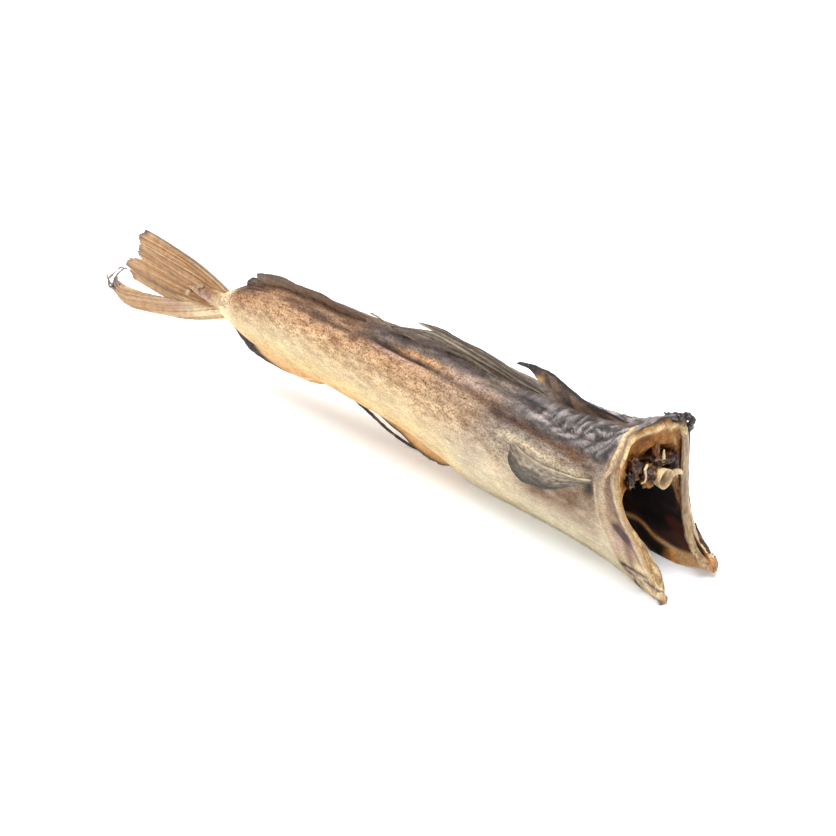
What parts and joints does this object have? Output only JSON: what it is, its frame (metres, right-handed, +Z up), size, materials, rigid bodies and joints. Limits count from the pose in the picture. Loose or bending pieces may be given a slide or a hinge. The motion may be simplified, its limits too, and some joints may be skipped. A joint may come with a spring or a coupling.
{
  "type": "stockfish, a whole headless air-dried cod",
  "caption": "Stockfish: a whole headless cod dried hard in the air, gut cavity open, resting on its belly flaps with fins and frayed tail.",
  "frame": {"origin": "centre of the footprint's bounding box, on the surface the fish rests on", "axes": "+X from the tail toward the neck opening, +Y toward the fish's left flank, +Z up through its back"},
  "size_m": [0.6156, 0.0778, 0.1282],
  "materials": {
    "skin": "matte",
    "bone": "satin"
  },
  "bodies": {
    "root": {"body": "skin", "backbone": "bone", "collar_bone_left": "bone", "collar_bone_right": "bone"}
  },
  "joints": []
}
